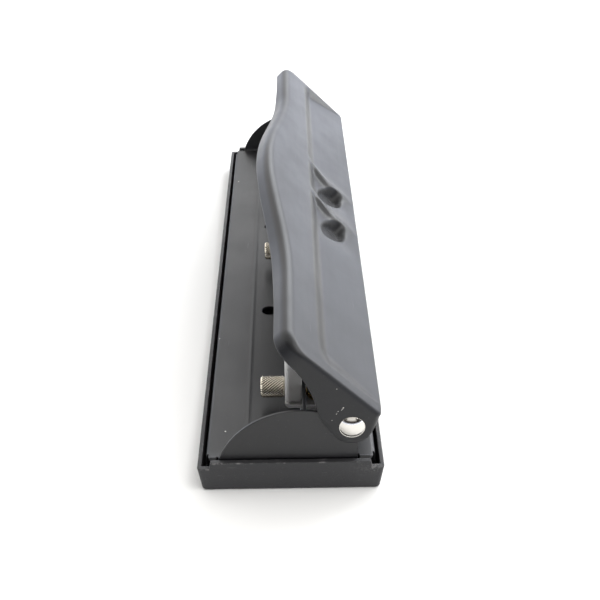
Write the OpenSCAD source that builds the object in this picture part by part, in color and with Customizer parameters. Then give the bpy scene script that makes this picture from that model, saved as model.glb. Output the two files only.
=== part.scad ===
// Adjustable three-hole desk punch, in millimetres.
// X runs along the punch, -Y is the side that the paper enters from, +Y is the hinge side, +Z is up.
// The origin is at the centre of the tray's underside.

/* [Tray] */
// Length of the tray
tray_length = 287.2; // [286.6:0.2:290]
// Depth of the tray, front to back
tray_depth = 68.6; // [68:0.2:72]
// Height of the rim round the base plate
rim_height = 10.6; // [9:0.1:11]
// Height of the raised middle of each end wall
end_wall_height = 13.4; // [12.8:0.1:14.5]
// Thickness of the tray's end walls
end_wall = 2.1; // [1.6:0.1:2.1]
// Thickness of the tray's long walls
side_wall = 1.6; // [1.2:0.1:2]
// Thickness of the tray's floor
tray_floor = 2; // [1.2:0.1:2]

/* [Base plate] */
// Thickness of the pressed sheet of the base plate, rail and handle
sheet = 1.2; // [1:0.1:1.2]
// Height of the base plate's flat top
base_top = 12.65; // [12.4:0.05:12.65]
// Distance between the inner faces of the ears, which lets letter paper in sideways
ear_gap = 280; // [279.6:0.2:280]
// Depth of the base plate, front to back
base_depth = 62.6; // [60:0.2:63]
// How far the front edge of the base plate falls below its flat top
front_fall = 0.6; // [0.2:0.1:1]
// Radius of the ears' rounded outline
ear_radius = 31.7; // [31:0.1:32]

/* [Hinge] */
// Distance of the hinge axis behind the centre line
hinge_y = 22; // [21.5:0.1:22.5]
// Height of the hinge axis
hinge_z = 29; // [28.5:0.1:29.5]
// Radius of each hinge rivet's shank
rivet_r = 2.5; // [2:0.1:3]
// Radius of each hinge rivet's domed head
dome_r = 4.6; // [4:0.1:5]

/* [Handle] */
// Slope of the handle's top at rest, in degrees
handle_slope = 44; // [43:0.5:45]
// Length up the slope from the rear edge to the front edge, at the handle's ends
handle_reach = 46.8; // [45:0.2:48]
// How much further the front edge swells forward in the middle
front_swell = 11.1; // [8:0.1:12]
// Half the length of the swollen stretch of the front edge
swell_half = 96; // [80:1:110]
// Depth of the lip along the front edge
lip_depth = 8; // [6:0.5:9]
// Depth of the long recess at its front step
recess_depth = 4.2; // [3:0.1:4.2]
// Depth of the two dents below the handle's top
dent_depth = 6; // [6:0.1:6]

/* [Punch heads] */
// Distance between neighbouring holes in the paper
hole_pitch = 108; // [107.5:0.5:108.5]
// Diameter of the punched hole
hole_d = 7.1; // [6.5:0.1:7.1]
// Distance of the pins behind the centre line
pin_y = 12.5; // [12.5:0.1:12.5]
// Width of each punch head
head_w = 16; // [15:0.5:17]
// Thickness of the punch heads' sheet
head_sheet = 1.6; // [1.4:0.1:1.6]
// Height of the paper gap inside a punch head
throat = 2; // [1.6:0.1:2]
// Distance from the paper stop to the centre of a hole
margin = 12; // [11.5:0.1:12]
// Height of the top of the heads' front wall
head_top = 40.4; // [36:0.1:40.6]

/* [Hidden] */
$fn = 64;

// Where each head stands along X
left = -hole_pitch;
middle = 0;
right = hole_pitch;

gap = 0.3;                               // clearance between bodies that move past each other
run = 0.07;                              // radial running clearance of a shaft in its bore
draft = 1.4;                             // how far the tray's foot is set in from its rim
ear_face = ear_gap / 2 + sheet;          // outer face of an ear
flange_in = ear_face + gap;              // inner face of a handle end flange
flange_out = flange_in + sheet;          // outer face of a handle end flange
skirt_z = tray_floor + gap;              // lower edge of the base plate's skirts
ridge_y = -16.3;                         // line where the base plate starts to fall to the front
ear_front = -27;                         // front limit of an ear
ear_rear = 24.5;                         // straight rear edge of an ear
ear_centre = [4, 3.5];                   // centre of the ear's round outline, in Y and Z
boss_r = 7;                              // radius of the ear round the hinge
handle_rear = [33.1, 33.8];              // rear top edge of the handle, in Y and Z
corner_r = 10;                           // radius of the handle's front corners, seen from above
recess_half = 130;                       // half the length of the recess
recess_front = 30;                       // distance of the recess's step from the rear edge
dent_x = 17;                             // distance of each dent from the middle
dent_s = 14.5;                           // distance of the dents from the rear edge
dent_size = [24, 14];                    // length and width of a dent at its mouth
bar_s = 15.66;                           // distance of the pressure bar from the rear edge
bar_n = -13.43;                          // depth of the centre of its round nose below the top
nose_r = 3;                              // radius of the nose
bar_half = 136;                          // half the length of the pressure bar
bar_foot = 6.5;                          // half the width of its feet

die_z = base_top + 0.25;                 // underside of a head's die leg
guide_z = die_z + head_sheet + throat;   // underside of a head's guide leg
guide_top = guide_z + head_sheet;        // top of a head's guide leg
stop_y = pin_y + margin;                 // paper stop, the front of a head's rear wall
front_y = -1.9;                          // front of a head's front wall
flange_y = 4.5;                          // rear edge of a head's side flanges
rail_y = 4.7;                            // front face of the rail
rail_z = guide_top + 0.4;                // lower edge of the rail
rail_h = 9;                              // height of the rail
screw_z = 20.9;                          // height of the thumb screws
screw_r = 2;                             // radius of a thumb screw's shank
knob_r = 4.2;                            // radius of a thumb screw's head
knob_len = 9.3;                          // length of a thumb screw's head
bush_r = 5;                              // outer radius of a guide bush
bush_flange = [6.4, 0.9];                // radius and thickness of its flange
pin_tip = guide_z + 0.2;                 // lowest point of a pin at rest
pin_top = 31.9;                          // top of a pin at rest
clip_z = 29.6;                           // underside of the spring clip
clip_h = 0.7;                            // thickness of the spring clip
clip_r = 6.2;                            // outer radius of the spring clip
spring_z = guide_top + bush_flange[1];   // foot of a return spring
wire_r = 0.4;                            // radius of the spring wire
coil_r = 5.6;                            // radius of the coil's centre line
coil_turns = 5;                          // turns in a return spring

// Lays a profile drawn in Y and Z along X from x0 to x1
module along_x(x0, x1) {
    rotate([90, 0, 90])
        translate([0, 0, x0])
            linear_extrude(x1 - x0) children();
}

// Lays a profile drawn in X and Z along Y from y0 to y1
module along_y(y0, y1) {
    rotate([90, 0, 0])
        translate([0, 0, -y1])
            linear_extrude(y1 - y0) children();
}

// A box from its lowest to its highest corner
module block(low, high) {
    translate(low) cube(high - low);
}

// A cylinder along X from x0 to x1, on the hinge axis
module on_hinge(r, x0, x1) {
    translate([x0, hinge_y, hinge_z])
        rotate([0, 90, 0]) cylinder(r = r, h = x1 - x0);
}

// Draws its children at both ends of the punch
module both_ends() {
    children();
    mirror([1, 0, 0]) children();
}

// The handle's own frame: X along the handle, Y from front to rear edge down the slope, Z out of its top
module on_handle() {
    translate([0, handle_rear[0], handle_rear[1]])
        rotate([-handle_slope, 0, 0]) children();
}

// A shallow bow of points from p towards q, raised by sag on the left of the line
function bow(p, q, sag, steps) = [
    for (i = [0 : steps - 1])
        let (u = i / steps, d = q - p, n = [-d[1], d[0]] / norm(d))
        p + d * u + n * 4 * sag * u * (1 - u)
];

module tray() {
    color("#26262a")
    difference() {
        union() {
            intersection() {
                along_x(-tray_length / 2, tray_length / 2) polygon([
                    [-tray_depth / 2 + draft, 0], [tray_depth / 2 - draft, 0],
                    [tray_depth / 2, rim_height], [-tray_depth / 2, rim_height]
                ]);
                along_y(-tray_depth / 2, tray_depth / 2) polygon([
                    [-tray_length / 2 + draft / 2, 0], [tray_length / 2 - draft / 2, 0],
                    [tray_length / 2, rim_height], [-tray_length / 2, rim_height]
                ]);
            }
            both_ends() raised_end();
        }
        block([-tray_length / 2 + end_wall, -tray_depth / 2 + side_wall, tray_floor],
              [tray_length / 2 - end_wall, tray_depth / 2 - side_wall, end_wall_height + 1]);
    }
}

// The raised middle of an end wall, which hides the end of the base plate
module raised_end() {
    half = tray_depth / 2 - 4.4;
    slant = 0.8;
    along_x(tray_length / 2 - end_wall, tray_length / 2) polygon([
        [-half, rim_height - 1], [half, rim_height - 1],
        [half - slant, end_wall_height], [-half + slant, end_wall_height]
    ]);
}

module base_plate() {
    half = base_depth / 2;
    color("#2c2c30")
    difference() {
        union() {
            intersection() {
                along_x(-ear_face, ear_face) pan_profile(half);
                linear_extrude(2 * base_top) pan_outline(half, 3);
            }
            both_ends() ear();
        }
        chip_slot(left, -6, 68);
        chip_slot(middle, -15, 15);
        chip_slot(right, -68, 6);
        for (side = [-1, 1]) {
            translate([40.5 * side, -8.8, 0]) cylinder(d = 7, h = 2 * base_top);
        }
        for (x = [-ear_face - 1, ear_gap / 2 - 1]) {
            on_hinge(rivet_r + run, x, x + sheet + 2);
        }
    }
}

// Section of the pan: a flat top that falls a little to the front, and a skirt down each long side
module pan_profile(half) {
    top = base_top;
    front = base_top - front_fall;
    polygon([
        [-half, skirt_z], [-half, front - 0.8], [-half + 0.8, front], [ridge_y, top],
        [half - 0.8, top], [half, top - 0.8], [half, skirt_z], [half - sheet, skirt_z],
        [half - sheet, top - sheet], [ridge_y, top - sheet], [-half + sheet, front - sheet],
        [-half + sheet, skirt_z]
    ]);
}

// Plan of the pan, with rounded corners
module pan_outline(half, r) {
    for (x = [-ear_face + r, ear_face - r], y = [-half + r, half - r]) {
        translate([x, y]) circle(r);
    }
    square([2 * (ear_face - r), 2 * half], center = true);
    square([2 * ear_face, 2 * (half - r)], center = true);
}

// An ear bent up from the base plate, with the hinge hole's boss
module ear() {
    along_x(ear_gap / 2, ear_face) {
        intersection() {
            translate(ear_centre) circle(ear_radius, $fn = 180);
            translate([ear_front, base_top - sheet]) square([ear_rear - ear_front, 30]);
        }
        translate([hinge_y, hinge_z]) circle(boss_r);
    }
}

// Long hole in the base plate that lets the chips of one head fall at any place along its travel
module chip_slot(x, low, high) {
    r = hole_d / 2 + 1;
    for (end = [low, high]) {
        translate([x + end, pin_y, 0]) cylinder(r = r, h = 2 * base_top);
    }
    block([x + low, pin_y - r, 0], [x + high, pin_y + r, 2 * base_top]);
}

module guide_rail() {
    end = ear_gap / 2;
    tab_depth = 9;
    color("#1c1c1f") {
        block([-end, rail_y, rail_z], [end, rail_y + sheet, rail_z + rail_h]);
        both_ends() block([end - sheet, rail_y, rail_z], [end, rail_y + tab_depth, rail_z + rail_h]);
    }
}

// Distance of the handle's front edge from its rear edge, up the slope, at a place along the handle
function reach(x) = handle_reach
    + (abs(x) < swell_half ? front_swell * (1 + cos(180 * x / swell_half)) / 2 : 0);

// Plan of the handle in its own frame, set in from its ends and front edge
module handle_outline(inset) {
    centre = [flange_out - corner_r, corner_r - handle_reach];
    r = corner_r - inset;
    corner = [for (a = [0 : 10 : 90]) centre + r * [cos(a), -sin(a)]];
    front = [for (x = [swell_half : -6 : -swell_half]) [x, inset - reach(x)]];
    other = [for (a = [90 : -10 : 0]) [-centre[0] - r * cos(a), centre[1] - r * sin(a)]];
    polygon(concat([[flange_out - inset, 0]], corner, front, other, [[inset - flange_out, 0]]));
}

module handle() {
    color("#34343a")
    difference() {
        union() {
            on_handle() handle_shell();
            both_ends() handle_flange();
        }
        for (x = [-flange_out - 1, flange_in - 1]) on_hinge(rivet_r, x, x + sheet + 2);
    }
}

// Top panel, lip, recess and dents
module handle_shell() {
    difference() {
        union() {
            translate([0, 0, -sheet]) linear_extrude(sheet) handle_outline(0);
            translate([0, 0, -lip_depth])
                linear_extrude(lip_depth)
                    difference() {
                        handle_outline(0);
                        translate([0, 1]) handle_outline(sheet);
                        square([4 * flange_out, 2 * (handle_reach - corner_r)], center = true);
                    }
            recess_form(sheet, 0);
            dent_forms(sheet, 0);
            rear_lip();
        }
        recess_form(0, 1);
        dent_forms(0, 1);
    }
}

// Short lip turned down along the rear edge
module rear_lip() {
    along_x(-flange_in, flange_in) polygon([
        [-sheet, -sheet], [-sheet, 0], [0, 0], [2, -4.3], [2 - sheet, -4.5], [0.5 - sheet, -sheet]
    ]);
}

// Wedge of the recess, which is deepest at the front step and runs out at the rear edge
module recess_form(grow, over) {
    half = recess_half + grow;
    front = recess_front + grow;
    along_x(-half, half) polygon([
        [0, -grow], [-front, -recess_depth - grow], [-front, over], [0, over]
    ]);
}

// The two dents in the floor of the recess
module dent_forms(grow, over) {
    length = dent_size[0] / 2 + grow;
    width = dent_size[1] / 2 + grow;
    taper = 3;
    for (side = [-1, 1]) {
        translate([side * dent_x, 0, 0])
            along_y(-dent_s - width, -dent_s + width) polygon([
                [-length, 0], [-length + taper, -dent_depth - grow],
                [length - taper, -dent_depth - grow], [length, 0], [length, over], [-length, over]
            ]);
    }
}

// End flange: drawn with the distance from the rear edge and the depth below the handle's top
module handle_flange() {
    front = handle_reach - corner_r;
    rim = concat(
        bow([front, -lip_depth], [17.7, -15.2], -1.2, 8),
        bow([17.7, -15.2], [7, -18.3], 0.5, 4)
    );
    outline = concat([[0, 0], [front, 0]], rim, [[7, -18.3], [-2.7, -10], [-2, -4.3]]);
    on_handle()
        along_x(flange_in, flange_out)
            mirror([1, 0]) polygon(outline);
    on_hinge(7.4, flange_in, flange_out);
}

module pressure_bar() {
    top = -dent_depth - sheet;
    inner = nose_r - sheet;
    color("#3a3a3e")
    on_handle()
        along_x(-bar_half, bar_half)
            translate([-bar_s, 0]) {
                difference() {
                    union() {
                        translate([0, bar_n]) circle(nose_r);
                        translate([-nose_r, bar_n]) square([2 * nose_r, top - bar_n]);
                        translate([-bar_foot, top - sheet]) square([2 * bar_foot, sheet]);
                    }
                    translate([0, bar_n]) circle(inner);
                    translate([-inner, bar_n]) square([2 * inner, top - bar_n + 1]);
                }
            }
}

// Shoulder rivet: domed head outside the handle flange, shank, and clenched tail inside the ear
module hinge_rivet(side) {
    tail = ear_gap / 2 - 2;
    dome_h = 1.9;
    sphere_r = (dome_r * dome_r + dome_h * dome_h) / (2 * dome_h);
    color("#c9c5ba")
    translate([0, hinge_y, hinge_z])
        mirror([side < 0 ? 1 : 0, 0, 0])
            rotate([0, 90, 0]) {
                translate([0, 0, tail]) cylinder(r = rivet_r, h = flange_out - tail);
                translate([0, 0, tail]) cylinder(r = 3.4, h = 1);
                intersection() {
                    translate([0, 0, flange_out + dome_h - sphere_r]) sphere(sphere_r);
                    translate([0, 0, flange_out]) cylinder(r = 2 * dome_r, h = 2 * dome_h);
                }
            }
}

module rivet_washer(side) {
    inner_face = ear_gap / 2 - 1;
    color("#9a9a9c")
    mirror([side < 0 ? 1 : 0, 0, 0])
        difference() {
            on_hinge(5, inner_face, inner_face + 0.8);
            on_hinge(rivet_r, inner_face - 1, inner_face + 2);
        }
}

// One folded punch head: die leg, rear wall, guide leg, front wall and two side flanges
module head(x) {
    half = head_w / 2;
    die_front = 4;
    color("#8d9091")
    difference() {
        union() {
            block([x - half, die_front, die_z], [x + half, stop_y + head_sheet, die_z + head_sheet]);
            block([x - half, stop_y, die_z], [x + half, stop_y + head_sheet, guide_top]);
            block([x - half, front_y, guide_z], [x + half, stop_y + head_sheet, guide_top]);
            block([x - half, front_y, guide_z], [x + half, front_y + head_sheet, head_top]);
            for (side = [x - half, x + half - head_sheet]) {
                along_x(side, side + head_sheet) polygon([
                    [front_y, guide_z], [3.4, guide_z], [flange_y, 20.5],
                    [flange_y, 32], [1.5, head_top], [front_y, head_top]
                ]);
            }
        }
        translate([x, pin_y, die_z - 1]) cylinder(d = hole_d + 2 * run, h = head_sheet + 1.5);
        translate([x, pin_y, guide_z - 1]) cylinder(r = bush_r, h = head_sheet + 2);
        screw_bore(x, front_y - 1, front_y + head_sheet + 1);
    }
}

// Bore for a thumb screw's shank from y0 to y1
module screw_bore(x, y0, y1) {
    translate([x, y1, screw_z])
        rotate([90, 0, 0]) cylinder(r = screw_r + run, h = y1 - y0);
}

module guide_bush(x) {
    color("#b08d4a")
    translate([x, pin_y, 0])
        difference() {
            union() {
                translate([0, 0, guide_z]) cylinder(r = bush_r, h = head_sheet + 2.4);
                translate([0, 0, guide_top]) cylinder(r = bush_flange[0], h = bush_flange[1]);
            }
            translate([0, 0, guide_z - 1]) cylinder(d = hole_d + 2 * run, h = 10);
        }
}

module screw_nut(x) {
    size = 5.5;
    back = front_y + head_sheet;
    thickness = 2.4;
    color("#77797b")
    difference() {
        block([x - size / 2, back, screw_z - size / 2], [x + size / 2, back + thickness, screw_z + size / 2]);
        screw_bore(x, back - 1, back + thickness + 1);
    }
}

// Thumb screw: a round head with chamfered ends, and a shank that ends just in front of the rail
module thumb_screw(x) {
    knob_y = front_y - 0.1;
    shank_end = rail_y - gap;
    chamfer = 0.5;
    color("#b9b29c")
    translate([x, knob_y, screw_z])
        rotate([90, 0, 0])
            rotate_extrude() polygon([
                [0, knob_y - shank_end], [screw_r, knob_y - shank_end], [screw_r, 0],
                [knob_r - chamfer, 0], [knob_r, chamfer], [knob_r, knob_len - chamfer],
                [knob_r - chamfer, knob_len], [0, knob_len]
            ]);
}

// Punch pin: a groove near the top for the clip, and a hollow-ground tip that starts its cut at two points
module punch_pin(x) {
    r = hole_d / 2;
    tip_rise = 1.2;
    color("#a9abad")
    translate([x, pin_y, 0])
        difference() {
            translate([0, 0, pin_tip]) cylinder(r = r, h = pin_top - pin_tip);
            along_y(-hole_d, hole_d) polygon([
                [-r + 0.4, pin_tip - 1], [-r + 0.4, pin_tip], [0, pin_tip + tip_rise],
                [r - 0.4, pin_tip], [r - 0.4, pin_tip - 1]
            ]);
            translate([0, 0, clip_z])
                difference() {
                    cylinder(r = r + 1, h = clip_h);
                    cylinder(r = r - 0.5, h = clip_h);
                }
        }
}

// Open ring that sits in the pin's groove and holds the top of the spring
module spring_clip(x) {
    r = hole_d / 2 - 0.5;
    color("#8b8b8e")
    translate([x, pin_y, clip_z])
        difference() {
            cylinder(r = clip_r, h = clip_h);
            translate([0, 0, -1]) cylinder(r = r, h = clip_h + 2);
            block([-r * 0.85, 0, -1], [r * 0.85, clip_r + 1, clip_h + 1]);
        }
}

// Return spring round the pin, swept along its helix
module return_spring(x) {
    sides = 6;
    per_turn = 16;
    rings = coil_turns * per_turn;
    rise = clip_z - spring_z - 2 * wire_r;
    points = [
        for (i = [0 : rings], k = [0 : sides - 1])
            let (a = 360 * i / per_turn, b = 360 * k / sides, r = coil_r + wire_r * cos(b))
            [r * cos(a), r * sin(a), wire_r + rise * i / rings + wire_r * sin(b)]
    ];
    walls = [
        for (i = [0 : rings - 1], k = [0 : sides - 1])
            let (m = (k + 1) % sides)
            [i * sides + k, (i + 1) * sides + k, (i + 1) * sides + m, i * sides + m]
    ];
    start = [for (k = [0 : sides - 1]) k];
    end = [for (k = [sides - 1 : -1 : 0]) rings * sides + k];
    color("#a0a0a0")
    translate([x, pin_y, spring_z])
        polyhedron(points, concat([start], walls, [end]));
}

tray();
base_plate();
guide_rail();
handle();
pressure_bar();
hinge_rivet(-1);  // hinge_rivet_left
hinge_rivet(1);  // hinge_rivet_right
rivet_washer(-1);  // rivet_washer_left
rivet_washer(1);  // rivet_washer_right
head(left);  // head_left
head(middle);  // head_middle
head(right);  // head_right
guide_bush(left);  // guide_bush_left
guide_bush(middle);  // guide_bush_middle
guide_bush(right);  // guide_bush_right
screw_nut(left);  // screw_nut_left
screw_nut(middle);  // screw_nut_middle
screw_nut(right);  // screw_nut_right
thumb_screw(left);  // thumb_screw_left
thumb_screw(middle);  // thumb_screw_middle
thumb_screw(right);  // thumb_screw_right
punch_pin(left);  // punch_pin_left
punch_pin(middle);  // punch_pin_middle
punch_pin(right);  // punch_pin_right
spring_clip(left);  // spring_clip_left
spring_clip(middle);  // spring_clip_middle
spring_clip(right);  // spring_clip_right
return_spring(left);  // return_spring_left
return_spring(middle);  // return_spring_middle
return_spring(right);  // return_spring_right
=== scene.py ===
"""Looks of an adjustable three-hole desk punch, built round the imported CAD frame.

Shapes are worked out in millimetres in the CAD frame and stored in metres.
"""
import math

import bmesh
import bpy
import numpy as np
from mathutils import Matrix, Vector
from mathutils.geometry import tessellate_polygon


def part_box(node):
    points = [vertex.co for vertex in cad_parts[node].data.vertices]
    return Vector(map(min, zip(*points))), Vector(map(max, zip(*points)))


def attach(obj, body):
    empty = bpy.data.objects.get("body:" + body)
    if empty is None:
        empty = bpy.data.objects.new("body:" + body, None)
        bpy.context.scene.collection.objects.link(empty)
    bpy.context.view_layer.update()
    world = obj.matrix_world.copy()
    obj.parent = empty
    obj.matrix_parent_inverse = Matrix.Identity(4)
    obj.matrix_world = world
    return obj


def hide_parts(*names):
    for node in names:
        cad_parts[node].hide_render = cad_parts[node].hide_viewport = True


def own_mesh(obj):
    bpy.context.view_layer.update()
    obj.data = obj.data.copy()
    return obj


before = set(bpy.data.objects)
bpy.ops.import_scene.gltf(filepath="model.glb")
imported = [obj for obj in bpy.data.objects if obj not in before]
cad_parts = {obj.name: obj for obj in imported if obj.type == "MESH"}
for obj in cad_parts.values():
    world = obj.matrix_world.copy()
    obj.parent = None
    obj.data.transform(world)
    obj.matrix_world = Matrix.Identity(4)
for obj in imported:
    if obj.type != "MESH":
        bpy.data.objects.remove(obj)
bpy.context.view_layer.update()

MM = 0.001
SIDES = {"left": -1, "middle": 0, "right": 1}

# ---- places taken from the CAD frame


def centre_of(node):
    """Centre of a CAD node's box, in millimetres."""
    low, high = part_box(node)
    return (low + high) / 2 / MM


HEAD_X = {side: centre_of(f"head_{side}").x for side in SIDES}
HINGE = (centre_of("rivet_washer_right").y, centre_of("rivet_washer_right").z)
PIN_Y = centre_of("guide_bush_middle").y
SCREW_Z = centre_of("thumb_screw_middle").z

# Sizes that several pieces share, in millimetres
SHEET = 1.2                  # sheet of the base plate, rail, handle and pressure bar
BASE_TOP = 12.65             # top of the base plate
FLANGE_OUT = 142.7           # outer face of a handle flange
SLOPE = math.radians(44)     # slope of the handle's top at rest
REAR_EDGE = (33.1, 33.8)     # Y and Z of the handle's rear top edge
RIVET_R = 2.5                # shank of the hinge rivets
BORE_R, BUSH_R = 3.62, 5.0   # bore for the pin, and the bush's body
THREAD_R = 2.07              # hole for the thumb screw's shank
SPRING_FOOT = 19.0           # lower end of the return springs, on the bush's flange
SPRING_HEAD = 29.6           # their upper end at rest, under the clip


# ---- mesh tools


def link(name, mesh):
    obj = bpy.data.objects.new(name, mesh)
    bpy.context.scene.collection.objects.link(obj)
    return obj


def from_bmesh(name, bm, sharp=34, weighted=True):
    """Turns a bmesh in millimetres into an object in metres, smooth except over sharp edges."""
    bmesh.ops.remove_doubles(bm, verts=bm.verts[:], dist=1e-4)
    bmesh.ops.recalc_face_normals(bm, faces=bm.faces[:])
    bmesh.ops.scale(bm, vec=(MM, MM, MM), verts=bm.verts[:])
    for face in bm.faces:
        face.smooth = True
    for edge in bm.edges:
        if len(edge.link_faces) == 2 and edge.calc_face_angle(0) > math.radians(sharp):
            edge.smooth = False
    mesh = bpy.data.meshes.new(name)
    bm.to_mesh(mesh)
    bm.free()
    obj = link(name, mesh)
    if weighted:
        modifier = obj.modifiers.new("even_shading", "WEIGHTED_NORMAL")
        modifier.keep_sharp = True
    return obj


def rounded(corners, step=12):
    """Closed outline through corners given as (x, y, radius)."""
    out = []
    for i, (x, y, r) in enumerate(corners):
        here = Vector((x, y))
        before = (Vector(corners[i - 1][:2]) - here).normalized()
        after = (Vector(corners[(i + 1) % len(corners)][:2]) - here).normalized()
        if r <= 0:
            out.append(here)
            continue
        half = before.angle(after) / 2
        centre = here + (before + after).normalized() * (r / math.sin(half))
        start = here + before * (r / math.tan(half)) - centre
        end = here + after * (r / math.tan(half)) - centre
        first = math.atan2(start.y, start.x)
        sweep = math.atan2(end.y, end.x) - first
        sweep = (sweep + math.pi) % (2 * math.pi) - math.pi
        count = max(2, round(abs(sweep) / math.radians(step)))
        for k in range(count + 1):
            a = first + sweep * k / count
            out.append(centre + r * Vector((math.cos(a), math.sin(a))))
    return out


def rectangle(x0, y0, x1, y1, r, step=12):
    return rounded([(x0, y0, r), (x1, y0, r), (x1, y1, r), (x0, y1, r)], step)


def full_turn(count):
    """Angles of evenly spaced points round a circle."""
    return [2 * math.pi * k / count for k in range(count)]


def circle(x, y, r, count=48):
    return [Vector((x + r * math.cos(a), y + r * math.sin(a))) for a in full_turn(count)]


def bridge(bm, one, two):
    """Faces between two closed rings of vertices, either of which may be a single point."""
    count = max(len(one), len(two))
    for k in range(count):
        m = (k + 1) % count
        if len(one) == 1:
            bm.faces.new((one[0], two[m], two[k]))
        elif len(two) == 1:
            bm.faces.new((one[k], one[m], two[0]))
        else:
            bm.faces.new((one[k], one[m], two[m], two[k]))


def inset(loop, distance):
    """Moves an outline to the left of its direction of travel."""
    points = np.array([tuple(p) for p in loop])
    ahead = np.roll(points, -1, 0) - points
    ahead /= np.linalg.norm(ahead, axis=1)[:, None]
    left = np.stack([-ahead[:, 1], ahead[:, 0]], 1)
    both = left + np.roll(left, 1, 0)
    both /= np.linalg.norm(both, axis=1)[:, None]
    reach = distance / np.maximum((both * left).sum(1), 0.5)
    return [Vector(p) for p in points + both * reach[:, None]]


def cap(bm, loops):
    """Flat face over an outline and its holes, each a ring of vertices."""
    verts = [v for loop in loops for v in loop]
    for triangle in tessellate_polygon([[v.co for v in loop] for loop in loops]):
        bm.faces.new([verts[k] for k in triangle])


def slab(outline, holes, thickness, edge=0.15):
    """Flat sheet with softened edges: outline runs counter-clockwise, so do the holes."""
    layers = [(0, edge), (edge, 0), (thickness - edge, 0), (thickness, edge)]
    bm = bmesh.new()
    rings = []
    for loop in [outline] + [hole[::-1] for hole in holes]:
        rows = [[bm.verts.new((*p, h)) for p in inset(loop, d)] for h, d in layers]
        rings.append(rows)
        for low, high in zip(rows, rows[1:]):
            bridge(bm, low, high)
    for layer in (0, -1):
        cap(bm, [rows[layer] for rows in rings])
    return bm


def cut(bm, axis, places):
    """Adds edge loops across a sheet, so that it can bend there."""
    for place in places:
        point, normal = [0, 0, 0], [0, 0, 0]
        point[axis], normal[axis] = place, 1
        everything = bm.verts[:] + bm.edges[:] + bm.faces[:]
        bmesh.ops.bisect_plane(bm, geom=everything, dist=1e-5, plane_co=point, plane_no=normal)


def part_length(size, turn):
    return size * abs(math.radians(turn)) if turn else size


def follow(start, heading, parts, along, off):
    """Point at a distance along a path of (length, turn) parts, set off to its left.

    A part with turn 0 is straight; otherwise it is an arc of that radius and signed angle.
    """
    x, y = start
    a = math.radians(heading)
    for i, (size, turn) in enumerate(parts):
        here = along if i == len(parts) - 1 else min(along, part_length(size, turn))
        if turn:
            reach = math.copysign(size, turn)
            x, y = x - math.sin(a) * reach, y + math.cos(a) * reach
            a += here / reach
            x, y = x + math.sin(a) * reach, y - math.cos(a) * reach
        else:
            x += math.cos(a) * here
            y += math.sin(a) * here
        along -= here
        if along <= 1e-9:
            break
    return x - math.sin(a) * off, y + math.cos(a) * off


def lathe(profile, count, place):
    """Turned solid from a profile of (radius, height); place maps (x, y, height) to the frame."""
    bm = bmesh.new()
    rings = []
    for r, h in profile:
        if r < 1e-6:
            rings.append([bm.verts.new(place(0, 0, h))])
        else:
            rings.append([bm.verts.new(place(r * math.cos(a), r * math.sin(a), h)) for a in full_turn(count)])
    for low, high in zip(rings, rings[1:]):
        bridge(bm, low, high)
    if len(rings[0]) > 1 and len(rings[-1]) > 1:
        bridge(bm, rings[-1], rings[0])
    return bm


def tube(path, radius, sides=10):
    """Round wire along a path, with flat ends."""
    path = [Vector(p) for p in path]
    bm = bmesh.new()
    rings = []
    for i, p in enumerate(path):
        ahead = (path[min(i + 1, len(path) - 1)] - path[max(i - 1, 0)]).normalized()
        across = ahead.cross(Vector((0, 0, 1))).normalized()
        up = across.cross(ahead)
        rings.append([bm.verts.new(p + radius * (across * math.cos(a) + up * math.sin(a)))
                      for a in full_turn(sides)])
    for low, high in zip(rings, rings[1:]):
        bridge(bm, low, high)
    bm.faces.new(rings[0])
    bm.faces.new(rings[-1][::-1])
    return bm


def smooth(low, high, value):
    """Smooth step from 0 at low to 1 at high, for numbers and arrays."""
    t = np.clip((value - low) / (high - low), 0, 1)
    return t * t * (3 - 2 * t)


def install(obj, body, slot, material, *nodes):
    """Ties a finished piece to its body, its material and the CAD nodes that it stands for; the slot argument
    is not used.
    """
    obj.data.materials.append(material)
    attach(obj, body)
    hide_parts(*nodes)
    return obj


# ---- materials


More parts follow.
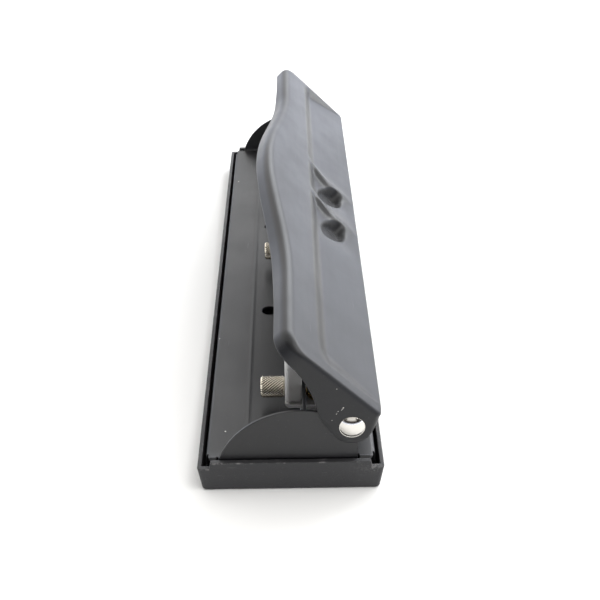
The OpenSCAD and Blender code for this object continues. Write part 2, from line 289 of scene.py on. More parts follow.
class Nodes:
    """Short ways to add nodes to a tree, with patterns fixed to a place in metres."""

    def __init__(self, tree, place):
        self.tree = tree
        self.place = tree.nodes.new("ShaderNodeTexCoord").outputs[place]

    def put(self, socket, value):
        if isinstance(value, bpy.types.NodeSocket):
            self.tree.links.new(value, socket)
        else:
            socket.default_value = value

    def node(self, kind, **inputs):
        node = self.tree.nodes.new("ShaderNode" + kind)
        for socket, value in inputs.items():
            self.put(node.inputs[socket.replace("_", " ")], value)
        return node

    def against(self, operation, vector):
        """Distance from a point, or dot product with a direction, of the place being shaded."""
        node = self.node("VectorMath", Vector=self.place)
        node.operation = operation
        node.inputs[1].default_value = vector
        return node.outputs["Value"]

    def noise(self, size, detail=3.0, rough=0.55, scale=(1, 1, 1), warp=0.0):
        """Soft noise with features of about size millimetres."""
        vector = self.place
        if scale != (1, 1, 1):
            vector = self.node("Mapping", Vector=vector, Scale=scale).outputs[0]
        node = self.node("TexNoise", Vector=vector, Scale=1000 / size, Detail=detail,
                         Roughness=rough, Distortion=warp)
        return node.outputs["Fac"]

    def cells(self, size):
        node = self.node("TexVoronoi", Vector=self.place, Scale=1000 / size)
        return node.outputs["Distance"]

    def remap(self, value, low, high, to_low=0.0, to_high=1.0):
        node = self.node("MapRange", Value=value, From_Min=low, From_Max=high,
                         To_Min=to_low, To_Max=to_high)
        node.interpolation_type = "SMOOTHSTEP"
        return node.outputs[0]

    def math(self, operation, a, b=0.0):
        node = self.node("Math")
        node.operation = operation
        self.put(node.inputs[0], a)
        self.put(node.inputs[1], b)
        return node.outputs[0]

    def times(self, a, b):
        return self.math("MULTIPLY", a, b)

    def plus(self, a, b):
        return self.math("ADD", a, b)

    def blend(self, share, a, b):
        node = self.node("Mix")
        node.data_type = "RGBA"
        self.put(node.inputs[0], share)
        self.put(node.inputs[6], a if isinstance(a, bpy.types.NodeSocket) else (*a, 1))
        self.put(node.inputs[7], b if isinstance(b, bpy.types.NodeSocket) else (*b, 1))
        return node.outputs[2]


class Finish(Nodes):
    """A Principled material whose pattern is fixed to the piece."""

    def __init__(self, name, **constants):
        self.material = bpy.data.materials.new(name)
        self.material.use_nodes = True
        self.material.node_tree.nodes.clear()
        super().__init__(self.material.node_tree, "Object")
        self.shader = self.node("BsdfPrincipled")
        output = self.node("OutputMaterial")
        self.put(output.inputs[0], self.shader.outputs[0])
        self.normal = None
        for socket, value in constants.items():
            self.shader.inputs[socket.replace("_", " ")].default_value = value

    def spot(self, centre, size, ragged=0.6):
        """1 inside a ragged spot of size millimetres, 0 outside."""
        edge = self.times(self.noise(0.5), ragged * size * MM)
        distance = self.plus(self.against("DISTANCE", [c * MM for c in centre]), edge)
        return self.remap(distance, size * MM * 1.05, size * MM * 0.85)

    def attribute(self, name):
        node = self.node("Attribute")
        node.attribute_name = name
        return node.outputs["Fac"]

    def bump(self, height, depth, strength=1.0):
        """Adds relief of depth millimetres."""
        inputs = {"Height": height, "Distance": depth * MM, "Strength": strength}
        if self.normal is not None:
            inputs["Normal"] = self.normal
        self.normal = self.node("Bump", **inputs).outputs[0]

    def done(self, color, roughness, metallic=None):
        self.put(self.shader.inputs["Base Color"], color)
        self.put(self.shader.inputs["Roughness"], roughness)
        if metallic is not None:
            self.put(self.shader.inputs["Metallic"], metallic)
        if self.normal is not None:
            self.put(self.shader.inputs["Normal"], self.normal)
        return self.material


def paint(name, tint, gloss, grain, chips=(), scuff=0.3, shine=0.47, pits=False):
    """Baked satin paint: orange peel, uneven gloss, dust, fine scratches and a few chips to the steel; with
    pits, painted shade darkens the dents.
    """
    f = Finish(name, Specular_IOR_Level=shine)
    cloud = f.noise(28, 4)
    streak = f.noise(3.2, 5, 0.6, scale=(0.16, 1.2, 1.2))
    dust = f.remap(f.noise(0.55, 2), 0.67, 0.78)
    scratch = f.remap(f.noise(0.9, 3, 0.5, scale=(0.05, 1, 1), warp=0.6), 0.66, 0.72)
    marks = f.times(scratch, f.remap(f.noise(14, 2), 0.52, 0.68))
    dark = [c * 0.78 for c in tint]
    light = [c * 1.25 for c in tint]
    color = f.blend(cloud, dark, light)
    color = f.blend(f.times(dust, 0.10), color, (0.35, 0.34, 0.33))
    color = f.blend(f.times(marks, scuff * 0.35), color, (0.22, 0.22, 0.23))
    rough = f.remap(cloud, 0.3, 0.7, gloss - 0.035, gloss + 0.045)
    rough = f.plus(rough, f.times(streak, 0.06))
    rough = f.plus(rough, f.times(dust, 0.15))
    f.bump(f.noise(0.8, 2), grain)
    f.bump(f.noise(0.28, 2), grain * 0.35)
    f.bump(f.noise(22, 2), 0.10)
    if pits:
        # Painted shade: inside the dents the paint is darker, standing in for the shadow there; it is also
        # rougher and bumpier.
        deep = f.attribute("pit")
        color = f.blend(deep, color, [c * 0.6 for c in tint])
        rough = f.plus(rough, f.times(deep, 0.14))
        f.bump(f.times(deep, f.noise(2.4, 4, 0.6)), 0.5)
    metal = None
    if chips:
        bare = 0.0
        for centre, size in chips:
            bare = f.math("MAXIMUM", f.spot(centre, size), bare)
        color = f.blend(bare, color, (0.62, 0.60, 0.57))
        rough = f.plus(rough, f.times(bare, 0.1))
        f.bump(f.math("SUBTRACT", 1.0, bare), 0.05)
        metal = f.times(bare, 0.8)
    return f.done(color, rough, metal)


def plastic():
    """Moulded black plastic: spark-eroded grain, dust, rubbed grey edges."""
    f = Finish("tray_plastic_grain", Specular_IOR_Level=0.42)
    edge = f.attribute("rub")
    cloud = f.noise(18, 5, 0.6)
    dust = f.remap(f.noise(0.45, 2), 0.64, 0.80)
    ragged = f.remap(f.plus(f.noise(2.6, 5, 0.7), f.noise(9, 2)), 0.98, 1.30)
    rub = f.times(edge, ragged)
    bruise = f.times(f.attribute("worn"), f.remap(f.noise(0.8, 4, 0.7), 0.50, 0.58))
    rub = f.math("MAXIMUM", rub, bruise)
    scratch = f.remap(f.noise(1.1, 3, 0.5, scale=(1, 0.08, 1.4), warp=0.8), 0.69, 0.73)
    color = f.blend(cloud, (0.020, 0.020, 0.022), (0.034, 0.034, 0.036))
    color = f.blend(f.times(dust, 0.16), color, (0.42, 0.40, 0.38))
    color = f.blend(f.times(scratch, 0.12), color, (0.28, 0.28, 0.28))
    color = f.blend(f.times(rub, 0.62), color, (0.30, 0.29, 0.28))
    rough = f.remap(cloud, 0.3, 0.7, 0.47, 0.60)
    f.bump(f.cells(0.55), 0.035)
    f.bump(f.noise(0.32, 3), 0.03)
    f.bump(f.noise(30, 2), 0.12)
    f.bump(rub, 0.03)
    return f.done(color, rough)


def metal(name, dark, light, gloss, brushed=(1, 1, 1), grain=0.003, spots=0.3, stain=(0.2, 0.17, 0.14),
          bare=1.0):
    """Bare or plated metal with brushed grain, clouded gloss, stains, and painted shade in the grooves of a
    knurl.
    """
    f = Finish(name, Metallic=bare)
    cloud = f.noise(7, 4)
    lines = f.noise(0.22, 4, 0.6, scale=brushed)
    tarnish_and_groove_shade = f.remap(f.noise(1.7, 5, 0.7), 0.58, 0.72)
    color = f.blend(cloud, dark, light)
    color = f.blend(f.times(tarnish_and_groove_shade, spots), color, stain)
    rough = f.remap(lines, 0.25, 0.75, gloss * 0.8, gloss * 1.25)
    rough = f.plus(rough, f.times(tarnish_and_groove_shade, 0.10))
    # Painted shade: points cut into a knurl (the cut attribute) are darkened towards near black, standing in
    # for the shadow in the grooves; they are also rougher.
    groove = f.remap(f.attribute("cut"), 0.12, 0.6)
    color = f.blend(f.times(groove, 0.95), color, (0.06, 0.048, 0.03))
    rough = f.plus(rough, f.times(groove, 0.2))
    f.bump(lines, grain)
    f.bump(f.noise(2.5, 3), grain * 2)
    return f.done(color, rough)


# Chips in the paint, each as its place and its size
FLANGE_CHIPS = [((142.8, 18.7, 37.7), 0.40), ((142.8, 18.4, 37.2), 0.34), ((142.8, 18.1, 36.7), 0.28),
                ((142.8, 16.9, 36.1), 0.26), ((142.8, 16.3, 34.9), 0.30), ((142.8, 16.5, 35.4), 0.22),
                ((142.8, 14.8, 32.1), 0.24), ((142.8, 16.3, 46.0), 0.25), ((-142.8, 12.2, 39.4), 0.4),
                ((-142.8, 20.4, 41.0), 0.3)]
PLATE_CHIPS = [((124.2, -24.7, 12.4), 0.42), ((-97.0, -28.2, 12.2), 0.5), ((61.5, -30.4, 12.0), 0.4)]

HANDLE_PAINT = paint("satin_black_paint", (0.0080, 0.0083, 0.0098), gloss=0.33, grain=0.010,
                     chips=FLANGE_CHIPS, scuff=0.25, shine=0.36, pits=True)
BAR_PAINT = paint("bar_black_paint", (0.011, 0.011, 0.012), gloss=0.40, grain=0.012)
BASE_PAINT = paint("base_black_paint", (0.0135, 0.0136, 0.0150), gloss=0.40, grain=0.012,
                   chips=PLATE_CHIPS, scuff=0.45)
TRAY_PLASTIC = plastic()
HEAD_STEEL = metal("dull_zinc_sheet", (0.58, 0.575, 0.56), (0.71, 0.705, 0.69), gloss=0.42,
                   brushed=(1, 1, 0.12), grain=0.008, spots=0.35, bare=0.3)
NICKEL = metal("warm_nickel", (0.72, 0.65, 0.51), (0.90, 0.84, 0.72), gloss=0.17, spots=0.55,
               stain=(0.22, 0.18, 0.11))
RIVET_NICKEL = metal("polished_nickel", (0.62, 0.60, 0.565), (0.74, 0.72, 0.68), gloss=0.12, spots=0.12)
TOOL_STEEL = metal("ground_steel", (0.48, 0.48, 0.49), (0.60, 0.60, 0.60), gloss=0.20,
                   brushed=(1, 1, 0.1), spots=0.2)
SPRING_STEEL = metal("spring_wire", (0.36, 0.35, 0.34), (0.52, 0.51, 0.49), gloss=0.28)
BRASS = metal("turned_brass", (0.62, 0.44, 0.17), (0.76, 0.57, 0.26), gloss=0.24,
              brushed=(1, 1, 0.15), stain=(0.25, 0.15, 0.05))
ZINC = metal("zinc_plate", (0.44, 0.45, 0.47), (0.62, 0.62, 0.62), gloss=0.32, grain=0.004)


# ---- handle

REACH = 46.8                     # width of the top up the slope, at its ends
SWELL, SWELL_HALF = 11.1, 96.0   # how far the front edge swells, and the swell's half length
CORNER, REAR_CORNER = 10.0, 2.2  # plan radius of the front and rear corners
FRONT_FILLET, REAR_FILLET, END_FILLET = 3.8, 1.2, 2.0  # rounding where the top turns down
RECESS_END, RECESS_TOP = 137.6, 32.4  # where the recess ends along the handle and up the slope
# Each dent's ridge and middle along X, and the tilt of its floor
DENTS = ((-23.5, -12.0, 0.7), (9.0, 22.0, 2.1))
DENT_HALF, DENT_DEPTH = (12.6, 7.0), 5.5
DENT_UP, DENT_LEAN = 15.4, 0.5   # the dents' middle up the slope, and their lean in radians


def on_handle(x, s, n):
    """Point x along the handle, s up the slope from its rear edge, and n out of its top."""
    return (x, REAR_EDGE[0] - s * math.cos(SLOPE) + n * math.sin(SLOPE),
            REAR_EDGE[1] + s * math.sin(SLOPE) + n * math.cos(SLOPE))


def lesser(a, b, soft):
    """The smaller of two values, rounded over where they are within soft of each other."""
    share = np.clip(0.5 + 0.5 * (b - a) / soft, 0, 1)
    return b + (a - b) * share - soft * share * (1 - share)


def recess_depth(x, s):
    """Depth of the recess and its two dents below the handle's top, and how far a point is in a dent."""
    # A floor that is deepest up the slope, with a sloping wall at each end
    floor = 3.1 * np.clip(s, 0, None) / 30
    end_wall = np.where(x < 0, 0.42, 0.25) * (RECESS_END - np.abs(x))
    depth = np.clip(lesser(floor, end_wall, 0.5), 0, None)
    inside = np.zeros_like(depth)
    lean_cos, lean_sin = math.cos(DENT_LEAN), math.sin(DENT_LEAN)
    for ridge, middle, tilt in DENTS:
        # A low ridge that leans over at both ends, and a shallow dish round the dent
        u = x - ridge + 6.0 * smooth(17, 29, s) - 2.5 * smooth(9, 1, s)
        rise = np.where(u < 0, np.exp(-(u / 5.0) ** 2), np.exp(-(u / 2.6) ** 2))
        dish = np.exp(-((x - middle) / 9.5) ** 2) * smooth(1, 10, s) * smooth(29, 21, s)
        depth = depth + 0.9 * dish - 0.85 * floor * rise * (1 - 0.4 * smooth(6, 0, s))
        # The dent: a leaning rounded oblong with a steep wall
        dx, ds = x - middle, s - DENT_UP
        u = (dx * lean_cos + ds * lean_sin) / DENT_HALF[0]
        w = (ds * lean_cos - dx * lean_sin) / DENT_HALF[1]
        q = (np.abs(u) ** 1.8 + np.abs(w) ** 1.8) ** (1 / 1.8)
        bottom = DENT_DEPTH - tilt * np.clip(u + 0.2, 0, 1) - 1.9 * np.clip(np.abs(w - 0.1) - 0.3, 0, 1)
        wall = 1 - smooth(0.68, 1.0, q)
        depth = depth * (1 - wall) + bottom * wall
        inside = np.maximum(inside, 1 - smooth(0.70, 0.97, q))
    crown = 0.011 * np.clip(np.abs(x) - 134, 0, None) ** 2
    return depth * smooth(RECESS_TOP, RECESS_TOP - 8.2, s) + crown, inside


def handle_edges():
    """Rear and front edge of the handle, each with the start of its fillet and the fillet's radius."""
    straight = FLANGE_OUT - CORNER
    xs = np.linspace(-straight, straight, 341)
    inside = np.abs(xs) < SWELL_HALF
    swell = np.where(inside, SWELL * (1 + np.cos(np.pi * xs / SWELL_HALF)) / 2, 0)
    rate = np.where(inside, -SWELL * np.pi / SWELL_HALF * np.sin(np.pi * xs / SWELL_HALF) / 2, 0)
    front = np.stack([xs, REACH + swell], 1)
    normal = np.stack([-rate, np.ones_like(xs)], 1)
    normal /= np.linalg.norm(normal, axis=1)[:, None]
    fillet = np.full(len(xs), FRONT_FILLET)
    a = np.radians(np.linspace(0, 90, 19))[1:]
    arc = np.stack([straight + CORNER * np.sin(a), REACH - CORNER + CORNER * np.cos(a)], 1)
    arc_normal = np.stack([np.sin(a), np.cos(a)], 1)
    arc_fillet = FRONT_FILLET - (FRONT_FILLET - END_FILLET) * np.sin(a) ** 1.5
    flip = np.array([-1, 1])
    front = np.concatenate([arc[::-1] * flip, front, arc])
    normal = np.concatenate([arc_normal[::-1] * flip, normal, arc_normal])
    front_fillet = np.concatenate([arc_fillet[::-1], fillet, arc_fillet])
    front_start = front - normal * front_fillet[:, None]
    x = front[:, 0]
    turn = np.clip((np.abs(x) - (FLANGE_OUT - REAR_CORNER)) / REAR_CORNER, 0, 1)
    bend = 1 - np.sqrt(1 - turn ** 2)
    rear = np.stack([x, REAR_CORNER * bend], 1)
    rear_fillet = REAR_FILLET + (END_FILLET - REAR_FILLET) * turn
    inner_x = np.minimum(np.abs(x), FLANGE_OUT - REAR_CORNER) + (REAR_CORNER - END_FILLET) * turn
    rear_start = np.stack([np.sign(x) * inner_x, REAR_FILLET + (REAR_CORNER - REAR_FILLET) * bend], 1)
    return (rear, rear_start, rear_fillet, turn), (front, front_start, front_fillet)


def flange_rim(count):
    """Lower edge of an end flange from its rear to its front, as evenly spaced (s, n) points."""
    hub, r = (4.66, -11.16), 7.4
    points = [(hub[0] - r * math.cos(a), hub[1] - r * math.sin(a))
              for a in np.radians(np.linspace(0, 100, 30))]
    start, middle, end = Vector((7.4, -18.15)), Vector((17.7, -15.2)), Vector((36.8, -7.0))
    for p, q, sag in ((start, middle, 0.45), (middle, end, 1.2)):
        across = Vector((-(q - p).y, (q - p).x)).normalized()
        points += [tuple(p.lerp(q, u) + across * (4 * sag * u * (1 - u) * (1 if q is end else -1)))
                   for u in np.linspace(0.08, 0.92 if q is middle else 1, 20)]
    points = np.array(points)
    length = np.concatenate([[0], np.cumsum(np.linalg.norm(np.diff(points, axis=0), axis=1))])
    even = np.linspace(0, length[-1], count)
    return np.stack([np.interp(even, length, points[:, k]) for k in (0, 1)], 1)


def handle_border(grid, rear_edge, front_edge):
    """What hangs from the border of the handle's top, all the way round it.

    Gives the places in the grid, the plan and radius of the fillet there, the foot of the skirt below,
    and how far the sheet is thinned by drawing.
    """
    (rear, _, rear_fillet, turn), (front, _, front_fillet) = rear_edge, front_edge
    columns, rows = grid.shape[0], grid.shape[1] - 1
    rim = flange_rim(rows + 1)
    rear_lip, lean = 4.2, 0.48
    end_lean = (rear[0][1] - rim[0][0]) / (-rim[0][1] - END_FILLET)

    def at_front(i):
        lip = 7.9 - 0.9 * float(smooth(88, 118, abs(front[i][0])))
        return (i, rows), front[i], front_fillet[i], (*front[i], -lip), 0.0

    def at_end(i, j):
        x = math.copysign(FLANGE_OUT, grid[i, j, 0])
        return (i, j), (x, grid[i, j, 1]), END_FILLET, (x, *rim[j]), max(0.0, 1 - j / 7)

    def at_rear(i):
        fall = rear_lip + (-rim[0][1] - rear_lip) * turn[i] ** 3
        shift = (lean + (end_lean - lean) * turn[i]) * (fall - rear_fillet[i])
        foot = (rear[i][0], rear[i][1] - shift, -fall)
        return (i, 0), rear[i], rear_fillet[i], foot, float(smooth(0.02, 0.4, turn[i]))

    border = [at_front(i) for i in range(columns)]
    border += [at_end(columns - 1, j) for j in range(rows - 1, 0, -1)]
    border += [at_rear(i) for i in range(columns - 1, -1, -1)]
    border += [at_end(0, j) for j in range(1, rows)]
    return [np.array(column) for column in zip(*border)]


def handle_surface():
    """Outer face of the handle.

    Gives its points and faces, its rings of points from the top's border down, how far each top point is
    in a dent, and for each border point the thinning of the sheet and the way down.
    """
    rear_edge, front_edge = handle_edges()
    rear_start, front_start = rear_edge[1], front_edge[1]
    rows, columns = 84, len(front_start)
    v = np.linspace(0, 1, rows + 1)
    grid = rear_start[:, None] + (front_start - rear_start)[:, None] * v[None, :, None]
    depth, inside = recess_depth(grid[..., 0], grid[..., 1])
    top = np.concatenate([grid, -depth[..., None]], 2)
    places, plan, fillets, feet, thinned = handle_border(grid, rear_edge, front_edge)
    start = top[places[:, 0], places[:, 1]]
    levels = []
    for a in np.radians(90 * np.arange(1, 8) / 7):
        place = start[:, :2] + (plan - start[:, :2]) * math.sin(a)
        levels.append(np.concatenate([place, start[:, 2:] - fillets[:, None] * (1 - math.cos(a))], 1))
    shoulder = levels[-1]
    levels += [shoulder + (feet - shoulder) * k / 8 for k in range(1, 9)]
    down = (feet - shoulder) / np.linalg.norm(feet - shoulder, axis=1)[:, None]

    points = np.concatenate([top.reshape(-1, 3)] + levels)
    index = np.arange(columns * (rows + 1)).reshape(columns, rows + 1)
    count = len(places)
    rings = [index[places[:, 0], places[:, 1]]]
    rings += [index.size + k * count + np.arange(count) for k in range(len(levels))]
    faces = [(index[i, j], index[i + 1, j], index[i + 1, j + 1], index[i, j + 1])
             for i in range(columns - 1) for j in range(rows)]
    for high, low in zip(rings, rings[1:]):
        faces += list(zip(high, np.roll(high, -1), np.roll(low, -1), low))
    return points, faces, rings, inside.reshape(-1), thinned, down


def build_handle():
    """Drawn steel lever: an outer face, the same face one sheet further in, and a rounded rim between."""
    points, faces, rings, inside, thinned, down = handle_surface()
    bm = bmesh.new()
    # How far each point is in a dent, which the paint uses for painted shade there and for rougher, bumpier
    # paint.
    pit = bm.verts.layers.float.new("pit")
    outer = [bm.verts.new(on_handle(*p)) for p in points]
    for vert, amount in zip(outer, inside):
        vert[pit] = amount
    for face in faces:
        bm.faces.new([outer[i] for i in face])
    bmesh.ops.recalc_face_normals(bm, faces=bm.faces[:])
    bm.normal_update()
    peak = max(outer, key=lambda vert: vert.co.z)
    facing = math.copysign(1, peak.normal.z)
    thick = np.full(len(outer), SHEET)
    for k, ring in enumerate(rings):
        thick[ring] *= 1 - 0.7 * thinned * min(1, k / 6)
    inner = [bm.verts.new(v.co - v.normal * facing * t) for v, t in zip(outer, thick)]
    for face in faces:
        bm.faces.new([inner[i] for i in face])

    bulge = 0.22
    direction = [Vector(on_handle(*d)) - Vector(on_handle(0, 0, 0)) for d in down]
    lines = [[outer[i] for i in rings[-1]]]
    for a in np.radians((40, 90, 140)):
        line = []
        for i, d in zip(rings[-1], direction):
            middle, half = (outer[i].co + inner[i].co) / 2, (outer[i].co - inner[i].co) / 2
            line.append(bm.verts.new(middle + half * math.cos(a) + d * bulge * math.sin(a)))
        lines.append(line)
    lines.append([inner[i] for i in rings[-1]])
    for high, low in zip(lines, lines[1:]):
        bridge(bm, high, low)
    return from_bmesh("lever_pressing", bm, sharp=60, weighted=False)


def build_pressure_bar():
    """Folded channel under the handle: two feet, two legs and a round nose."""
    middle, foot, nose = 15.66, 6.5, 2.4
    path = [(3.1, 0), (1.0, -90), (4.63, 0), (nose, 180), (4.63, 0), (1.0, -90), (3.1, 0)]
    length = sum(part_length(*part) for part in path)
    bm = slab(rectangle(-136, 0, 136, length, 1.5), [], SHEET)
    places, bends = 0, []
    for size, turn in path:
        end = places + part_length(size, turn)
        if turn:
            bends += list(np.linspace(places, end, 5 if size < 2 else 15))
        places = end
    cut(bm, 1, bends)
    for vert in bm.verts:
        x, along, height = vert.co
        s, n = follow((middle - foot, -7.8), 0, path, along, height - SHEET / 2)
        vert.co = on_handle(x, s, n)
    return from_bmesh("pressure_channel", bm)


# ---- base plate and rail


def ear_outline():
    """Outline of the ear in Y and Z, from its front foot over the hinge to its rear foot."""
    cy, cz, r = 4.0, 3.5, 31.7
    start = math.atan2(14.0 - cz, -math.sqrt(r * r - (14.0 - cz) ** 2))
    join = math.atan2(32.75 - cz, 16.2 - cy)
    points = [(cy + r * math.cos(a), cz + r * math.sin(a)) for a in np.linspace(start, join, 70)]
    boss = 7.0
    first = math.radians(146)
    points += [(HINGE[0] + boss * math.cos(a), HINGE[1] + boss * math.sin(a))
               for a in np.linspace(first, math.radians(-69.0), 44)]
    return points


def build_base_plate():
    """Steel pan worked out flat and then folded: an ear up at each end, a skirt down along each side."""
    half_y, half_x = 31.3, 141.0
    bend_x, bend_r = 138.7, 1.9
    bend_y, skirt_r = half_y - 1.6, 1.0
    arc_x, arc_y = bend_r * math.pi / 2, skirt_r * math.pi / 2
    lift = bend_x + arc_x - (BASE_TOP + 1.3)
    skirt = bend_y + arc_y + (BASE_TOP - 1.6 - 2.3)
    skirt_end, corner_x, corner_y = 136.8, half_x - 0.8, half_y - 1.2
    front_notch, ear_front, ear_rear, rear_notch = -27.2, -26.7, 24.5, 25.2

    right = [(skirt_end, -skirt, 1.2), (skirt_end, -corner_y, 0.4), (corner_x, -corner_y, 1.2),
             (corner_x, front_notch, 0.2), (bend_x + 0.4, front_notch, 0.2), (bend_x + 0.4, ear_front, 0.2)]
    right = rounded([(0, -skirt, 0)] + right + [(bend_x + 1.0, ear_front, 0)])[1:]
    right += [Vector((z + lift, y)) for y, z in ear_outline()]
    tail = [(bend_x, ear_rear, 0), (bend_x - 0.4, ear_rear, 0.3), (bend_x - 0.4, rear_notch, 0.3),
            (corner_x, rear_notch, 0.3), (corner_x, corner_y, 1.2), (skirt_end, corner_y, 0.4),
            (skirt_end, skirt, 1.2)]
    right += rounded([(bend_x + 3, ear_rear, 0)] + tail + [(0, skirt, 0)])[1:-1]
    outline = right + [Vector((-p.x, p.y)) for p in reversed(right)]

    sight_x, sight_y, sight_r = 40.5, -8.8, 3.5
    rivet_hole_r, slot_r = 2.57, 4.55
    holes = [circle(side * (HINGE[1] + lift), HINGE[0], rivet_hole_r) for side in (-1, 1)]
    holes += [circle(side * sight_x, sight_y, sight_r, 56) for side in (-1, 1)]
    for side, low, high in (("left", -6, 68), ("middle", -15, 15), ("right", -68, 6)):
        x0, x1 = HEAD_X[side] + low - slot_r, HEAD_X[side] + high + slot_r
        holes.append(rectangle(x0, PIN_Y - slot_r, x1, PIN_Y + slot_r, slot_r - 0.01, 8))
    bm = slab(outline, holes, SHEET, 0.16)

    ridge = -16.3
    for side in (-1, 1):
        cut(bm, 0, side * np.linspace(bend_x, bend_x + arc_x, 10))
        cut(bm, 1, side * np.linspace(bend_y, bend_y + arc_y, 8))
    cut(bm, 1, ridge + np.array([-2.2, -1.3, -0.8, -0.4, 0, 0.4, 0.8, 1.3]))
    cut(bm, 0, np.linspace(-135, 135, 19))

    along = [(bend_x, 0), (bend_r, 90), (50, 0)]
    across = [(bend_y, 0), (skirt_r, -90), (50, 0)]
    for vert in bm.verts:
        p, q, height = vert.co
        off = height - SHEET / 2
        x, z = follow((0, BASE_TOP - SHEET / 2), 0, along, abs(p), off)
        y, z_side = follow((0, BASE_TOP - SHEET / 2), 0, across, abs(q), off)
        fall = 0.6 * max(0, ridge - max(q, -bend_y)) / 15
        bead = 0.16 * math.exp(-((q - ridge) / 0.8) ** 2)
        if abs(p) > bend_x - 4:
            share = float(smooth(0, 4, bend_x - abs(p)))
            fall, bead = fall * share, bead * share
        vert.co = (math.copysign(x, p), math.copysign(y, q), z + z_side - (BASE_TOP - SHEET / 2) - off
                   - fall + bead)
    return from_bmesh("plate_pressing", bm, sharp=32)


def build_rail():
    """Flat strip behind the heads, with a tab turned back along each ear."""
    y, low, high = 4.7, 18.5, 27.5
    flat, radius = 138.2, 1.2
    arc = radius * math.pi / 2
    end = flat + arc + 7.2
    bm = slab(rectangle(-end, low, end, high, 1.2), [], SHEET, 0.12)
    for side in (-1, 1):
        cut(bm, 0, side * np.linspace(flat, flat + arc, 8))
    for vert in bm.verts:
        along, z, height = vert.co
        path = [(flat, 0), (radius, 90), (50, 0)]
        x, depth = follow((0, SHEET / 2), 0, path, abs(along), SHEET / 2 - height)
        vert.co = (math.copysign(x, along), y + depth, z)
    return from_bmesh("rail_strip", bm)


# ---- tray


def build_tray():
    """Moulded tray as a stack of rounded rings, from its underside round the rim to its floor."""
    length, depth = 143.6, 34.3
    end_wall, side_wall, rim, raised, floor = 2.1, 1.6, 10.6, 13.4, 2.0
    raise_flat, raise_foot = 29.1, 29.9

    def corner_points(sign, hx, hy, r, first):
        """Quarter turn round a corner, from an angle of 0 or 90 degrees."""
        centre_x = hx - r if first == 0 else r - hx
        angles = np.radians(first + np.linspace(0, 90, 9))
        return [(sign * (centre_x + r * math.cos(a)), sign * (hy - r + r * math.sin(a))) for a in angles]

    def ring(in_x, in_y, z, corner):
        """Rounded outline at height z, inside the tray's size by in_x and in_y, raised at both ends."""
        hx, hy = length - in_x, depth - in_y
        stops = [raise_foot + 0.35, raise_foot, 29.75, 29.5, 29.25, raise_flat, 28.6, 20, 10, 0]
        ys = stops + [-y for y in reversed(stops[:-1])]
        xs = np.linspace(hx - 4.2, 4.2 - hx, 25)
        points = []
        for sign in (1, -1):
            points += [(sign * hx, sign * -y) for y in ys]
            points += corner_points(sign, hx, hy, corner, 0)
            points += [(sign * x, sign * hy) for x in xs]
            points += corner_points(sign, hx, hy, corner, 90)
        out = []
        for x, y in points:
            at_end = z > rim - 1 and abs(x) > length - end_wall - 0.9
            rise = (raised - rim) * float(smooth(raise_foot, raise_flat, abs(y))) if at_end else 0
            out.append((x, y, z + rise))
        return out

    def draft(z):
        return (0.7 * (1 - z / rim), 1.4 * (1 - z / rim))

    rings, rubs = [], []

    def add(in_x, in_y, z, corner, rub=0.0):
        dx, dy = draft(z)
        rings.append(ring(dx + in_x, dy + in_y, z, corner))
        rubs.append(rub)

    foot_r, corner, inner_corner = 0.8, 1.6, 0.5
    for a in (0, 22.5, 45, 67.5, 90):
        e = foot_r * (1 - math.sin(math.radians(a)))
        z = foot_r * (1 - math.cos(math.radians(a)))
        add(e, e, z, corner - e * 0.5, 0.2 if 20 < a < 70 else 0.05)
    for z in (2.2, 4, 6, 8, 9.3, 9.9):
        add(0, 0, z, corner)
    for e, z, rub in ((0.0, 10.3, 0.4), (0.04, 10.44, 1.0), (0.14, 10.56, 1.0), (0.30, rim, 0.5)):
        add(e, e, z, corner - e, rub)
    add(0.6, 0.6, rim, 1.0)
    for e, z, rub in ((0.30, rim, 0.3), (0.10, 10.54, 0.7), (0.0, 10.38, 0.3)):
        add(end_wall - e, side_wall - e, z, inner_corner, rub)
    inside = [(0, 9.8), (0, 8), (0, 5), (0, 3.2), (0.12, floor + 0.45), (0.42, floor + 0.12), (0.9, floor)]
    for e, z in inside:
        dx, dy = draft(z)
        add(end_wall - dx + e, side_wall - dy + e, z, inner_corner)

    bm = bmesh.new()
    rubbed = bm.verts.layers.float.new("rub")
    worn = bm.verts.layers.float.new("worn")
    bare_corner, bare_end = (142.6, 30.6, 11.0), (143.4, -28.5, 12.6)
    rows = []
    for points, rub in zip(rings, rubs):
        row = [bm.verts.new(p) for p in points]
        for vert, p in zip(row, points):
            vert[rubbed] = rub
            near = math.exp(-(math.dist(p, bare_corner) / 2.0) ** 2)
            if rub > 0.3:
                near += 0.8 * math.exp(-(math.dist(p, bare_end) / 2.4) ** 2)
            vert[worn] = min(1.0, near)
        rows.append(row)
    for low, high in zip(rows, rows[1:]):
        bridge(bm, low, high)
    for row in (rows[0], rows[-1]):
        cap(bm, [row])
    return from_bmesh("tray_moulding", bm, sharp=50)


# ---- punch heads


